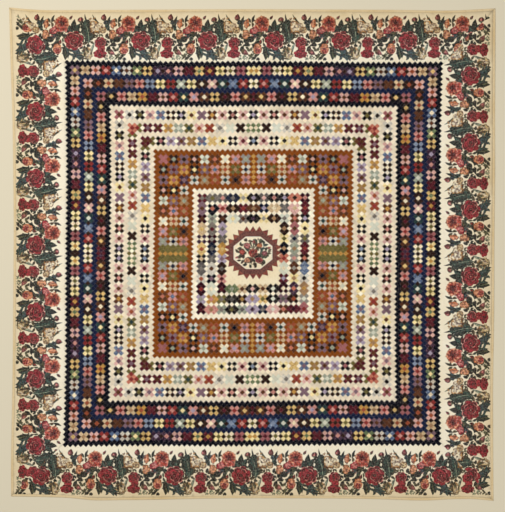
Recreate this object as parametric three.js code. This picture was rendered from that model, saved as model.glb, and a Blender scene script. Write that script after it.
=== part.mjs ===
// Applique bedcover, laid out flat: frames of small squares set on point round an octagon panel
// with a pointed sunburst, a wide printed border and a narrow binding.
// Millimetres. X runs to the right and Y to the top of the cover as it is looked down on, Z is up.
// The origin is under the middle of the whole cover, on the surface that it lies on.
import * as THREE from 'three';

// The patchwork is a lattice of half diagonals: squares stand where column + row is even
const PATCH_SIDE = 22;
const HALF = PATCH_SIDE / Math.SQRT2;
const PATCHWORK_MIDDLE = { x: 4, y: 3 };

// Outermost column and row of squares of each frame, from the middle outward
const FRAMES = [
  { name: 'medallion', column: 10, row: 12, colour: 0xeedfb4 },
  { name: 'inner_frame', column: 23, row: 25, colour: 0xb9aa98 },
  { name: 'brown_frame', column: 38, row: 40, colour: 0x87481d },
  { name: 'cream_frame', column: 55, row: 57, colour: 0xe6dabb },
  { name: 'navy_frame', column: 72, row: 74, colour: 0x22263f },
];
const PATCHWORK = FRAMES[FRAMES.length - 1];

// Thickness of each cloth as it lies, with its seam allowances
const PATCHWORK_THICK = 2;
const APPLIED_THICK = 1.2;
const EDGING_THICK = 1.5;
const CHINTZ_THICK = 1.8;
const BINDING_THICK = 2.6;

// Room between pieces: each side of a slanting seam stands back by half of it
const GAP = 0.3;
const SLANT_GAP = GAP / Math.SQRT2;

// How the sewn patchwork has drawn out of square
const LEAN = 6;
const BOW = 8;
const SQUEEZE = 9;
const SQUEEZE_REACH = 150;
const TAPER = 4;
const WANDER = 2;
const WANDER_LENGTH = 190;

// Small rises of the border where its edge doesn't lie quite down
const SWELL_HEIGHT = 4;
const SWELL_LENGTH = 230;

// The sunburst's octagon with the rays on each of its sides, and the panel over it
const SUNBURST_MIDDLE = { x: 4, y: 8 };
const SUNBURST = { halfWidth: 143, halfHeight: 130, flatX: 57, flatY: 50 };
const RAYS_ON_A_SIDE = 3;
const RAY_LENGTH = 29;
const PANEL = { halfWidth: 110, halfHeight: 91, flatX: 41, flatY: 37 };
const EDGING_WIDTH = 6;

// The border's binding, and the lines of points across the border and along each side
const BINDING_WIDTH = 14;
const BORDER_ROWS = 2;
const BORDER_STEPS = 24;

// The outer edge of the cover: how far out it lies at places along each side
const OUTLINE = {
  top: [
    { along: -1459, out: 1480 },
    { along: -1330, out: 1468 },
    { along: -1000, out: 1465 },
    { along: -700, out: 1466 },
    { along: -200, out: 1469 },
    { along: 300, out: 1468 },
    { along: 900, out: 1465 },
    { along: 1200, out: 1462 },
    { along: 1459, out: 1474 },
  ],
  right: [
    { along: -1480, out: 1447 },
    { along: -1250, out: 1445 },
    { along: -900, out: 1443 },
    { along: -450, out: 1449 },
    { along: 0, out: 1452 },
    { along: 600, out: 1456 },
    { along: 1150, out: 1457 },
    { along: 1474, out: 1459 },
  ],
  bottom: [
    { along: -1447, out: 1454 },
    { along: -1250, out: 1457 },
    { along: -1080, out: 1464 },
    { along: -980, out: 1475 },
    { along: -760, out: 1475 },
    { along: -200, out: 1466 },
    { along: 300, out: 1465 },
    { along: 760, out: 1470 },
    { along: 1060, out: 1477 },
    { along: 1210, out: 1470 },
    { along: 1330, out: 1470 },
    { along: 1447, out: 1480 },
  ],
  left: [
    { along: -1454, out: 1447 },
    { along: -1300, out: 1448 },
    { along: -900, out: 1441 },
    { along: -300, out: 1434 },
    { along: 300, out: 1432 },
    { along: 750, out: 1438 },
    { along: 1150, out: 1450 },
    { along: 1480, out: 1459 },
  ],
};
const SIDES = Object.keys(OUTLINE);

function isUpright(side) {
  return side === 'top' || side === 'bottom';
}

// Turns a place on a side, along it and out from the middle, to X and Y
function onSide(side, along, out) {
  const places = {
    top: { x: along, y: out },
    right: { x: out, y: along },
    bottom: { x: along, y: -out },
    left: { x: -out, y: along },
  };
  return places[side];
}

function between(a, b, share) {
  return { x: a.x + (b.x - a.x) * share, y: a.y + (b.y - a.y) * share };
}

// Where a point of the true lattice lies on the uneven cover
function drawn(point) {
  const across = point.x / (HALF * (PATCHWORK.column + 0.5));
  const up = point.y / (HALF * (PATCHWORK.row + 0.5));
  const bow = BOW * across * (1 - up * up);
  const squeeze = SQUEEZE * point.y / Math.hypot(point.y, SQUEEZE_REACH);
  const wanderX = WANDER * Math.sin(point.y / WANDER_LENGTH + across);
  const wanderY = WANDER * Math.sin(point.x / WANDER_LENGTH + up);
  return {
    x: PATCHWORK_MIDDLE.x + point.x + LEAN * up - bow + wanderX,
    y: PATCHWORK_MIDDLE.y + point.y - squeeze - TAPER * across * up + wanderY,
  };
}

// Lifts a point of the border off the surface, the more the nearer it is to the outer edge
function lifted(point, share) {
  const wave = Math.sin(point.x / SWELL_LENGTH + 0.7) * Math.sin(point.y / SWELL_LENGTH - 0.4);
  return { ...point, z: SWELL_HEIGHT * share * share * wave * wave };
}

// The sawtooth edge of a frame on one side, as the tips and valleys of its last squares.
// It is moved out or in by half a gap, and its ends are drawn in along the side.
function sawtooth(side, frame, moved, drawnIn = 0, more = 0) {
  const line = isUpright(side) ? frame.row : frame.column;
  const last = (isUpright(side) ? frame.column + 1 : frame.row - 1) + more;
  const points = [];
  for (let place = -last; place <= last; place += 1) {
    const isTip = (place + line) % 2 === 0;
    const isEnd = Math.abs(place) === last;
    const along = place * HALF - (isEnd ? Math.sign(place) * drawnIn : 0);
    points.push(onSide(side, along, (isTip ? line + 1 : line) * HALF + moved));
  }
  return points;
}

// The cover's outer corner at one end of a side, pulled in by the inset on both sides
function corner(side, end, inset) {
  const table = OUTLINE[side];
  const entry = end < 0 ? table[0] : table[table.length - 1];
  return { along: entry.along - end * inset, out: entry.out - inset };
}

// A line of points along one side of the cover, the inset away from its outer edge
function outline(side, inset) {
  const places = OUTLINE[side].map(({ along, out }) => new THREE.Vector3(along, out, 0));
  const curve = new THREE.CatmullRomCurve3(places, false, 'centripetal');
  const points = curve.getSpacedPoints(BORDER_STEPS).map((place) => {
    const drawnIn = inset * place.x / places[places.length - 1].x;
    return onSide(side, place.x - drawnIn, place.y - inset);
  });
  [-1, 1].forEach((end) => {
    const { along, out } = corner(side, end, inset);
    const mitred = onSide(side, along - end * SLANT_GAP, out);
    points[end < 0 ? 0 : BORDER_STEPS] = mitred;
  });
  return points;
}

// Triangles between two lines of points that both run along the axis: the line that is behind
// at its next point steps on
function zip(lower, upper, firstLower, firstUpper, axis) {
  const faces = [];
  const place = (point) => (point ? point[axis] : Infinity);
  let i = 0;
  let j = 0;
  while (i < lower.length - 1 || j < upper.length - 1) {
    if (place(upper[j + 1]) <= place(lower[i + 1])) {
      faces.push([firstLower + i, firstUpper + j + 1, firstUpper + j]);
      j += 1;
    } else {
      faces.push([firstLower + i, firstLower + i + 1, firstUpper + j]);
      i += 1;
    }
  }
  return faces;
}

// A closed sheet over a net of points: its underside, the same net above it, and its rim
function sheet(points, faces, thick) {
  const count = points.length;
  const upper = points.map(({ x, y, z = 0 }) => [x, y, z + thick]);
  const lower = points.map(({ x, y, z = 0 }) => [x, y, z]);
  const index = [];
  const rim = new Map();
  faces.forEach(([a, b, c]) => {
    const [p, q, r] = [points[a], points[b], points[c]];
    const turnsLeft = (q.x - p.x) * (r.y - p.y) - (q.y - p.y) * (r.x - p.x) > 0;
    const face = turnsLeft ? [a, b, c] : [a, c, b];
    index.push(face[0] + count, face[1] + count, face[2] + count, face[0], face[2], face[1]);
    face.forEach((from, place) => {
      const to = face[(place + 1) % 3];
      if (!rim.delete(`${to} ${from}`)) rim.set(`${from} ${to}`, [from, to]);
    });
  });
  rim.forEach(([from, to]) => {
    index.push(from, to, to + count, from, to + count, from + count);
  });
  const geometry = new THREE.BufferGeometry();
  const positions = [...lower, ...upper].flat();
  geometry.setAttribute('position', new THREE.Float32BufferAttribute(positions, 3));
  geometry.setIndex(index);
  return geometry;
}

// A sheet along one side of the cover, made of several lines of points, one beyond another
function sheetAlong(side, rows, thick) {
  const axis = isUpright(side) ? 'x' : 'y';
  const faces = [];
  let first = 0;
  rows.slice(1).forEach((row, before) => {
    const next = first + rows[before].length;
    faces.push(...zip(rows[before], row, first, next, axis));
    first = next;
  });
  return sheet(rows.flat(), faces, thick);
}

// A flat sheet within an outline, at a height over the surface
function sheetInside(outer, holes, height, thick) {
  const asVectors = (line) => line.map(({ x, y }) => new THREE.Vector2(x, y));
  const faces = THREE.ShapeUtils.triangulateShape(asVectors(outer), holes.map(asVectors));
  const points = [outer, ...holes].flat().map((point) => ({ ...point, z: height }));
  return sheet(points, faces, thick);
}

const cover = new THREE.Group();

function addPiece(name, geometry, color, roughness = 0.9) {
  const material = new THREE.MeshStandardMaterial({ color, roughness, metalness: 0 });
  material.flatShading = true;
  const piece = new THREE.Mesh(geometry, material);
  piece.name = name;
  cover.add(piece);
}

// The plain cloth in the middle, cut to the sawtooth edge of the frame round it
function addMedallionGround() {
  const [ground] = FRAMES;
  const [top, right, bottom, left] = SIDES.map((side) => {
    return sawtooth(side, ground, -SLANT_GAP, isUpright(side) ? 2 * SLANT_GAP : 0);
  });
  const edge = [...bottom, ...right, ...top.reverse(), ...left.reverse()].map(drawn);
  addPiece('medallion_ground', sheetInside(edge, [], 0, PATCHWORK_THICK), ground.colour);
}

// Corners of an octagon, anticlockwise from the right end of its top side
function octagon({ halfWidth, halfHeight, flatX, flatY }, outset = 0) {
  const wide = halfWidth + outset;
  const high = halfHeight + outset;
  const x = flatX + outset * (Math.SQRT2 - 1);
  const y = flatY + outset * (Math.SQRT2 - 1);
  const quarter = [{ x: -x, y: high }, { x: -wide, y }];
  const mirrored = quarter.map((point) => ({ x: point.x, y: -point.y })).reverse();
  const half = [...quarter, ...mirrored];
  const corners = [...half, ...half.map((point) => ({ x: -point.x, y: -point.y }))];
  return corners.map((point) => ({
    x: SUNBURST_MIDDLE.x + point.x,
    y: SUNBURST_MIDDLE.y + point.y,
  }));
}

// The octagon of the sunburst with its pointed rays standing side by side on each edge
function sunburstOutline() {
  const corners = octagon(SUNBURST);
  return corners.flatMap((from, edge) => {
    const to = corners[(edge + 1) % corners.length];
    const long = Math.hypot(to.x - from.x, to.y - from.y);
    const outward = { x: (to.y - from.y) / long, y: (from.x - to.x) / long };
    const points = [];
    for (let ray = 0; ray < RAYS_ON_A_SIDE; ray += 1) {
      const foot = between(from, to, (ray + 0.5) / RAYS_ON_A_SIDE);
      points.push(between(from, to, ray / RAYS_ON_A_SIDE));
      points.push(between(foot, { x: foot.x + outward.x, y: foot.y + outward.y }, RAY_LENGTH));
    }
    return points;
  });
}

// The sunburst lies on the ground, its side rays reach over the inner frame, and the panel with
// its white edging lies on the sunburst
function addMedallion() {
  const sunburstHeight = PATCHWORK_THICK + GAP;
  const panelHeight = sunburstHeight + APPLIED_THICK + GAP;
  const sunburst = sheetInside(sunburstOutline(), [], sunburstHeight, APPLIED_THICK);
  const panel = sheetInside(octagon(PANEL), [], panelHeight, APPLIED_THICK);
  const edgingOuter = octagon(PANEL, GAP + EDGING_WIDTH);
  const edgingInner = octagon(PANEL, GAP).reverse();
  const edging = sheetInside(edgingOuter, [edgingInner], panelHeight, EDGING_THICK);
  addPiece('sunburst', sunburst, 0x7f3f3d);
  addPiece('octagon_panel', panel, 0xcdb795);
  addPiece('octagon_edging', edging, 0xf3ead6);
}

// One side of a patchwork frame: the sides meet in straight mitred seams at the corners
function addFrameSide(side, within, frame) {
  const inner = sawtooth(side, within, SLANT_GAP).map(drawn);
  const outer = sawtooth(side, frame, -SLANT_GAP, 2 * SLANT_GAP).map(drawn);
  const shape = sheetAlong(side, [inner, outer], PATCHWORK_THICK);
  addPiece(`${frame.name}_${side}`, shape, frame.colour);
}

// One side of the printed border, mitred from the patchwork's corners to the cover's
function addBorderSide(side) {
  const teeth = sawtooth(side, PATCHWORK, SLANT_GAP, 0, isUpright(side) ? 0 : 1).map(drawn);
  const outer = outline(side, BINDING_WIDTH + GAP);
  const tips = ((isUpright(side) ? PATCHWORK.row : PATCHWORK.column) + 1) * HALF;
  const half = (isUpright(side) ? PATCHWORK.column + 1 : PATCHWORK.row) * HALF;
  const rows = [teeth.map((point) => lifted(point, 0))];
  for (let row = 1; row <= BORDER_ROWS; row += 1) {
    const share = row / BORDER_ROWS;
    const points = outer.map((edge, step) => {
      const along = half * (2 * step / BORDER_STEPS - 1);
      let inner = drawn(onSide(side, along, tips));
      if (step === 0) [inner] = teeth;
      if (step === BORDER_STEPS) inner = teeth[teeth.length - 1];
      return lifted(between(inner, edge, share), share);
    });
    rows.push(points);
  }
  addPiece(`border_${side}`, sheetAlong(side, rows, CHINTZ_THICK), 0xd9c9ae, 0.7);
}

// One side of the tape that binds the cover's raw edge
function addBindingSide(side) {
  const rows = [BINDING_WIDTH, 0].map((inset) => {
    return outline(side, inset).map((point) => lifted(point, 1));
  });
  addPiece(`binding_${side}`, sheetAlong(side, rows, BINDING_THICK), 0xe3d2ab);
}

addMedallionGround();
addMedallion();
FRAMES.slice(1).forEach((frame, level) => {
  SIDES.forEach((side) => addFrameSide(side, FRAMES[level], frame));
});
SIDES.forEach(addBorderSide);
SIDES.forEach(addBindingSide);

export default cover;
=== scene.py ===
# Applique bedcover, spread out flat: frames of small cotton squares round an applied sunburst
# and octagonal panel, a wide floral chintz border and a bound edge.
# Metres. X runs to the right and Y to the top of the cover as it is looked down on.
import math
import random

import bmesh
import bpy
import numpy as np
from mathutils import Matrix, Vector
from mathutils.geometry import delaunay_2d_cdt


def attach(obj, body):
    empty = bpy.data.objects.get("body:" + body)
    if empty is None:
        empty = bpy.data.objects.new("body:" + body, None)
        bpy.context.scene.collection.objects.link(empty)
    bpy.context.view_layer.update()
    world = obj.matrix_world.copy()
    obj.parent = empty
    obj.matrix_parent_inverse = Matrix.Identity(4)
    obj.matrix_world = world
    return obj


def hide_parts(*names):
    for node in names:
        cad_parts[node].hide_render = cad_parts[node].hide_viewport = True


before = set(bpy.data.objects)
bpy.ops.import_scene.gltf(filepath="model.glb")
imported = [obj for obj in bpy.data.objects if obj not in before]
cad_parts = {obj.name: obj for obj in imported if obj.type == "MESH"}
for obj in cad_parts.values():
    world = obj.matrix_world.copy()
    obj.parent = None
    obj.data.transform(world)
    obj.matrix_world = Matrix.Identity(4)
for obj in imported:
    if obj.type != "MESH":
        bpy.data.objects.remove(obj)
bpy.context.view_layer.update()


# The pieced frames. Squares of dress and furnishing cotton, 22 mm a side, are folded over
# papers and oversewn edge to edge on point; four frames of them lie one round another, and
# each frame is pieced as four mitred sides.
PATCH_SIDE = 0.022
HALF = PATCH_SIDE / math.sqrt(2)
PATCHWORK_MIDDLE = (0.004, 0.003)
GROUND_COLUMN, GROUND_ROW = 10, 12
COVER_COLUMN, COVER_ROW = 72, 74

# How the sewn patchwork has drawn out of square
LEAN = 0.006
BOW = 0.008
SQUEEZE = 0.009
SQUEEZE_REACH = 0.15
TAPER = 0.004
WANDER = 0.002
WANDER_LENGTH = 0.19
SEAM_SLIP = 0.0005
SEAM_GAP = 0.00015

# The square's section, from the surface under it to its slightly raised middle
PATCH_UNDER = 0.0002
PATCH_RIM = 0.0012
PATCH_STEPS = [(0.13, 0.0006), (0.3, 0.0002)]
PATCH_RISE = 0.00012


def seeded(number):
    return np.random.default_rng(number)


def drawn(x, y):
    """Where a point of the true lattice lies on the uneven cover."""
    across = x / (HALF * (COVER_COLUMN + 0.5))
    up = y / (HALF * (COVER_ROW + 0.5))
    bow = BOW * across * (1 - up * up)
    squeeze = SQUEEZE * y / np.hypot(y, SQUEEZE_REACH)
    wander_x = WANDER * np.sin(y / WANDER_LENGTH + across)
    wander_y = WANDER * np.sin(x / WANDER_LENGTH + up)
    drawn_x = PATCHWORK_MIDDLE[0] + x + LEAN * up - bow + wander_x
    drawn_y = PATCHWORK_MIDDLE[1] + y - squeeze - TAPER * across * up + wander_y
    return drawn_x, drawn_y


LATTICE_REACH = 80
SLIPS = seeded(11).normal(0, SEAM_SLIP, (2 * LATTICE_REACH, 2 * LATTICE_REACH, 2))


def seam_corner(column, row):
    """Where the corners of squares meet, with the small slips of hand sewing."""
    column, row = np.asarray(column), np.asarray(row)
    x, y = drawn(column * HALF, row * HALF)
    slips = SLIPS[column + LATTICE_REACH, row + LATTICE_REACH]
    return np.stack([x + slips[..., 0], y + slips[..., 1]], axis=-1)


def linear(red, green, blue):
    """A colour as it is seen, 0 to 255, as the shader's linear light."""
    shares = [value / 255 for value in (red, green, blue)]
    curve = [s / 12.92 if s <= 0.04045 else ((s + 0.055) / 1.055) ** 2.4 for s in shares]
    return (*curve, 1.0)


def put(tree, kind, sockets, **settings):
    """A shader node with its settings, and its sockets set to numbers or linked."""
    node = tree.nodes.new("ShaderNode" + kind)
    for name, value in settings.items():
        setattr(node, name, value)
    for name, value in sockets.items():
        if isinstance(value, bpy.types.NodeSocket):
            tree.links.new(value, node.inputs[name])
        else:
            node.inputs[name].default_value = value
    return node


# The Mix node's sockets for colours, which share their names with those for numbers
MIX_MASK, MIX_UNDER, MIX_OVER, MIX_RESULT = 0, 6, 7, 2


def painted(tree, mask, under, over, blend="MIX"):
    """One colour laid over another where the mask says, plainly or in another blend."""
    sockets = {MIX_MASK: mask, MIX_UNDER: under, MIX_OVER: over}
    return put(tree, "Mix", sockets, data_type="RGBA", blend_type=blend).outputs[MIX_RESULT]


def maths(tree, operation, *values):
    return put(tree, "Math", dict(enumerate(values)), operation=operation).outputs[0]


def on_cover(tree):
    """Each point's place on the cover, in metres."""
    return put(tree, "TexCoord", {}).outputs["Object"]


def noise(tree, place, scale, detail, rough=0.5):
    sockets = {"Vector": place, "Scale": scale, "Detail": detail, "Roughness": rough}
    return put(tree, "TexNoise", sockets).outputs["Fac"]


def ramp(tree, value, low, high, least=0.0, most=1.0):
    """A value stretched from one range to another, and held at its ends."""
    sockets = {"Value": value, "From Min": low, "From Max": high, "To Min": least, "To Max": most}
    return put(tree, "MapRange", sockets).outputs[0]


def new_group(name, inputs, result):
    """A node group with named inputs and one result, and its input and output nodes."""
    group = bpy.data.node_groups.new(name, "ShaderNodeTree")
    for socket, (kind, value) in inputs.items():
        made = group.interface.new_socket(socket, in_out="INPUT", socket_type="NodeSocket" + kind)
        if value is not None:
            made.default_value = value
    kind = "Float" if result == "Height" else "Color"
    group.interface.new_socket(result, in_out="OUTPUT", socket_type="NodeSocket" + kind)
    return group, group.nodes.new("NodeGroupInput"), group.nodes.new("NodeGroupOutput")


def make_weave():
    """Warp and weft threads of plain woven cotton, as a height."""
    inputs = {"Threads": ("Float", 1500.0), "Slub": ("Float", 0.3)}
    group, entry, leave = new_group("plain_weave", inputs, "Height")
    place = on_cover(group)
    threads = []
    for direction in ("X", "Y"):
        sockets = {"Vector": place, "Scale": entry.outputs["Threads"], "Distortion": 0.6}
        wave = put(group, "TexWave", sockets, wave_type="BANDS", bands_direction=direction)
        threads.append(wave.outputs["Fac"])
    woven = maths(group, "MULTIPLY", *threads)
    uneven = maths(group, "MULTIPLY", noise(group, place, 260.0, 3.0), entry.outputs["Slub"])
    group.links.new(maths(group, "ADD", woven, uneven), leave.inputs["Height"])
    return group


# How far from the cover's middle its outer edge starts to brown, and is fully brown
EDGE_BROWN_FROM = 1.22
EDGE_BROWN_TO = 1.45
AGE_TINTS = {
    "Clouds": (0.86, 0.76, 0.56, 1.0),
    "Marks": (0.62, 0.52, 0.4, 1.0),
    "Edge": (0.76, 0.65, 0.47, 1.0),
}


def make_age():
    """Years of light and handling: broad yellowed clouds, small marks and a browned outer edge."""
    inputs = {
        "Color": ("Color", (0.8, 0.8, 0.8, 1.0)),
        "Clouds": ("Float", 0.35),
        "Marks": ("Float", 0.3),
        "Edge": ("Float", 0.0),
    }
    group, entry, leave = new_group("age_of_cloth", inputs, "Color")
    place = on_cover(group)
    axes = put(group, "SeparateXYZ", {"Vector": place})
    far_x = maths(group, "ABSOLUTE", axes.outputs["X"])
    far_y = maths(group, "ABSOLUTE", axes.outputs["Y"])
    masks = {
        "Clouds": ramp(group, noise(group, place, 5.0, 4.0, 0.6), 0.42, 0.7),
        "Marks": ramp(group, noise(group, place, 90.0, 5.0, 0.7), 0.52, 0.72),
        "Edge": ramp(group, maths(group, "MAXIMUM", far_x, far_y), EDGE_BROWN_FROM, EDGE_BROWN_TO),
    }
    color = entry.outputs["Color"]
    for name, mask in masks.items():
        share = maths(group, "MULTIPLY", mask, entry.outputs[name])
        color = painted(group, share, color, AGE_TINTS[name], "MULTIPLY")
    group.links.new(color, leave.inputs["Color"])
    return group


WEAVE = make_weave()
AGE = make_age()

# The kinds of figure printed on the cottons
PLAIN, DOTS, STRIPES, SPRIGS, CHECK, SPECKLE, RINGS = range(7)
DOT_REACH = 0.11
STRIPE_FROM = 0.62
SPRIG_REACH = 0.66
SPECKLE_FROM = 0.53
RING_REACH = 0.3
RING_HALF_WIDTH = 0.09


def make_cotton_print():
    """A small dress print: the cloth's figure colour over its ground, in the way of its kind."""
    inputs = {
        "Ground": ("Color", (0.8, 0.8, 0.8, 1.0)),
        "Figure": ("Color", (0.1, 0.1, 0.1, 1.0)),
        "Kind": ("Float", 0.0),
        "Vector": ("Vector", None),
    }
    group, entry, leave = new_group("small_dress_print", inputs, "Color")
    vector = entry.outputs["Vector"]
    dots = put(group, "TexVoronoi", {"Vector": vector, "Scale": 1.7, "Randomness": 0.15})
    sprigs = put(group, "TexVoronoi", {"Vector": vector, "Scale": 1.3, "Randomness": 0.9})
    stripes = put(group, "TexWave", {"Vector": vector, "Scale": 0.75, "Distortion": 0.4})
    check = put(group, "TexChecker", {"Vector": vector, "Scale": 2.6})
    speckle = noise(group, vector, 5.0, 3.0)
    wobble = noise(group, vector, 4.0, 2.0)
    ragged = maths(group, "MULTIPLY_ADD", wobble, 0.7, sprigs.outputs["Distance"])
    from_ring = maths(group, "SUBTRACT", dots.outputs["Distance"], RING_REACH)
    masks = {
        DOTS: maths(group, "LESS_THAN", dots.outputs["Distance"], DOT_REACH),
        STRIPES: maths(group, "GREATER_THAN", stripes.outputs["Fac"], STRIPE_FROM),
        SPRIGS: maths(group, "LESS_THAN", ragged, SPRIG_REACH),
        CHECK: check.outputs["Fac"],
        SPECKLE: maths(group, "GREATER_THAN", speckle, SPECKLE_FROM),
        RINGS: maths(group, "LESS_THAN", maths(group, "ABSOLUTE", from_ring), RING_HALF_WIDTH),
    }
    figure = 0.0
    for kind, mask in masks.items():
        chosen = maths(group, "COMPARE", entry.outputs["Kind"], float(kind), 0.5)
        figure = maths(group, "MULTIPLY_ADD", chosen, mask, figure)
    color = painted(group, figure, entry.outputs["Ground"], entry.outputs["Figure"])
    group.links.new(color, leave.inputs["Color"])
    return group


COTTON_PRINT = make_cotton_print()

# How far roughness wanders over a cloth, and how weave, gloss and sheen take the light
ROUGHNESS_PLAY = 0.08
BUMP_STRENGTH = 0.6
DRY_GLOSS = 0.07
SHEEN_ROUGHNESS = 0.6


def woven_finish(material, color, threads, depth, roughness, sheen):
    """The cloth's shader: an aged colour, its weave as a bump, and a soft dry surface."""
    tree = material.node_tree
    aged = put(tree, "Group", {"Color": color}, node_tree=AGE)
    weave = put(tree, "Group", {"Threads": threads}, node_tree=WEAVE).outputs["Height"]
    bump = put(tree, "Bump", {"Height": weave, "Distance": depth, "Strength": BUMP_STRENGTH})
    worn = noise(tree, on_cover(tree), 24.0, 3.0)
    smooth, dull = roughness - ROUGHNESS_PLAY, roughness + ROUGHNESS_PLAY
    sockets = {
        "Base Color": aged.outputs["Color"],
        "Roughness": ramp(tree, worn, 0.0, 1.0, smooth, dull),
        "Normal": bump.outputs["Normal"],
        "Specular IOR Level": DRY_GLOSS,
        "Sheen Weight": sheen,
        "Sheen Roughness": SHEEN_ROUGHNESS,
    }
    shader = put(tree, "BsdfPrincipled", sockets)
    put(tree, "OutputMaterial", {"Surface": shader.outputs[0]})
    return aged


def empty_material(name):
    material = bpy.data.materials.new(name)
    material.use_nodes = True
    material.node_tree.nodes.clear()
    return material


def make_pieced_cotton():
    material = empty_material("pieced_cottons")
    tree = material.node_tree
    sockets = {"Vector": put(tree, "UVMap", {}, uv_map="Print").outputs[0]}
    for name, result in (("Ground", "Color"), ("Figure", "Color"), ("Kind", "Fac")):
        sockets[name] = put(tree, "Attribute", {}, attribute_name=name).outputs[result]
    printed = put(tree, "Group", sockets, node_tree=COTTON_PRINT)
    woven_finish(material, printed.outputs["Color"], 950.0, 0.00015, 0.86, 0.01)
    return material


PIECED_COTTON = make_pieced_cotton()

# The cottons: colour of the ground, colour of the printed figure, kind of print
COTTONS = {
    "black": ((12, 10, 14), (112, 100, 94), SPRIGS),
    "navy": ((4, 5, 18), (180, 176, 180), DOTS),
    "ink": ((20, 24, 42), (98, 102, 120), SPRIGS),
    "slate": ((22, 29, 56), (150, 160, 180), DOTS),
    "blue": ((84, 100, 128), (178, 186, 198), SPRIGS),
    "paleblue": ((156, 166, 180), (92, 104, 132), STRIPES),
    "charcoal": ((48, 44, 46), (150, 142, 134), SPECKLE),
    "grey": ((126, 118, 110), (46, 40, 44), SPRIGS),
    "ash": ((176, 170, 158), (112, 106, 100), CHECK),
    "sage": ((158, 162, 144), (98, 106, 88), SPRIGS),
    "mist": ((214, 214, 196), (148, 156, 136), DOTS),
    "olive": ((114, 104, 60), (60, 54, 32), SPRIGS),
    "green": ((98, 112, 80), (184, 184, 138), SPRIGS),
    "teal": ((42, 62, 62), (146, 160, 146), DOTS),
    "brown": ((94, 58, 40), (44, 26, 22), SPRIGS),
    "cocoa": ((44, 28, 24), (168, 132, 104), DOTS),
    "rust": ((138, 75, 28), (112, 58, 20), SPECKLE),
    "brick": ((156, 82, 56), (98, 42, 32), SPRIGS),
    "tan": ((178, 144, 106), (124, 88, 62), STRIPES),
    "buff": ((208, 182, 144), (150, 116, 82), SPRIGS),
    "ochre": ((172, 134, 72), (112, 82, 44), SPECKLE),
    "gold": ((192, 146, 78), (130, 86, 42), SPRIGS),
    "yellow": ((218, 186, 122), (150, 104, 58), SPRIGS),
    "lemon": ((238, 220, 164), (196, 158, 98), SPRIGS),
    "cream": ((240, 226, 194), (192, 156, 124), SPRIGS),
    "white": ((240, 232, 214), (74, 54, 58), RINGS),
    "ivory": ((246, 234, 210), (232, 216, 182), PLAIN),
    "calico": ((233, 219, 194), (216, 200, 172), PLAIN),
    "pink": ((204, 146, 134), (140, 72, 74), SPRIGS),
    "blush": ((230, 196, 182), (180, 116, 112), STRIPES),
    "salmon": ((196, 122, 100), (140, 64, 54), SPRIGS),
    "rose": ((164, 104, 104), (108, 60, 66), SPRIGS),
    "red": ((140, 56, 52), (74, 24, 28), SPRIGS),
    "maroon": ((80, 30, 38), (136, 70, 74), SPRIGS),
    "wine": ((48, 18, 28), (150, 92, 92), DOTS),
    "plum": ((56, 36, 52), (140, 112, 128), SPRIGS),
    "mauve": ((146, 118, 126), (92, 66, 80), STRIPES),
    "lavender": ((172, 158, 174), (112, 98, 128), SPRIGS),
}

# Each frame's crosses of five squares, arms/middle, from a corner along its side. A ring is
# given by how many squares its middles stand in from the frame's edge.
NAVY_CROSSES = {
    3: "mauve/yellow buff/tan blush/brick red/pink blue/cream white/brown green/lemon yellow/cocoa"
    " plum/lavender plum/pink blush/plum maroon/maroon yellow/green maroon/gold lemon/olive"
    " cream/olive rose/maroon lemon/gold",
    8: "blush/brick cocoa/brick buff/brick brown/brown mauve/brown pink/red paleblue/ink"
    " lemon/olive red/cocoa sage/mist lemon/olive cocoa/cream blush/cream teal/mist"
    " blue/paleblue red/pink cream/olive",
    13: "rose/cocoa black/yellow pink/red buff/tan gold/brick maroon/maroon blush/brown red/pink"
    " teal/lemon pink/lavender brown/cream yellow/black cocoa/maroon pink/red brown/yellow"
    " maroon/plum",
}
CREAM_CROSSES = {
    3: "rose/brown white/black black/olive blush/mauve blue/mauve cocoa/cream black/lavender"
    " lemon/brown mauve/mauve brown/gold blush/brown cocoa/pink blush/brown black/lavender",
    8: "salmon/red maroon/mauve maroon/brown gold/tan sage/mist olive/teal blush/brick brick/red"
    " white/grey mist/mist cocoa/cocoa green/cream olive/olive",
    13: "maroon/brown black/rose lavender/mauve mauve/brown ochre/tan blue/mauve yellow/yellow"
    " lemon/black black/cream blush/maroon black/paleblue",
}
BROWN_CROSSES = {
    3: "rose/rose cocoa/sage mauve/cocoa cocoa/blush mist/sage brown/salmon cream/mist"
    " pink/lavender ash/sage",
    7: "mauve/maroon gold/rose black/lemon mauve/gold pink/blue buff/brick olive/tan white/ink",
    11: "plum/mauve white/teal tan/sage brick/tan white/teal brown/navy pink/mauve",
}

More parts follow.
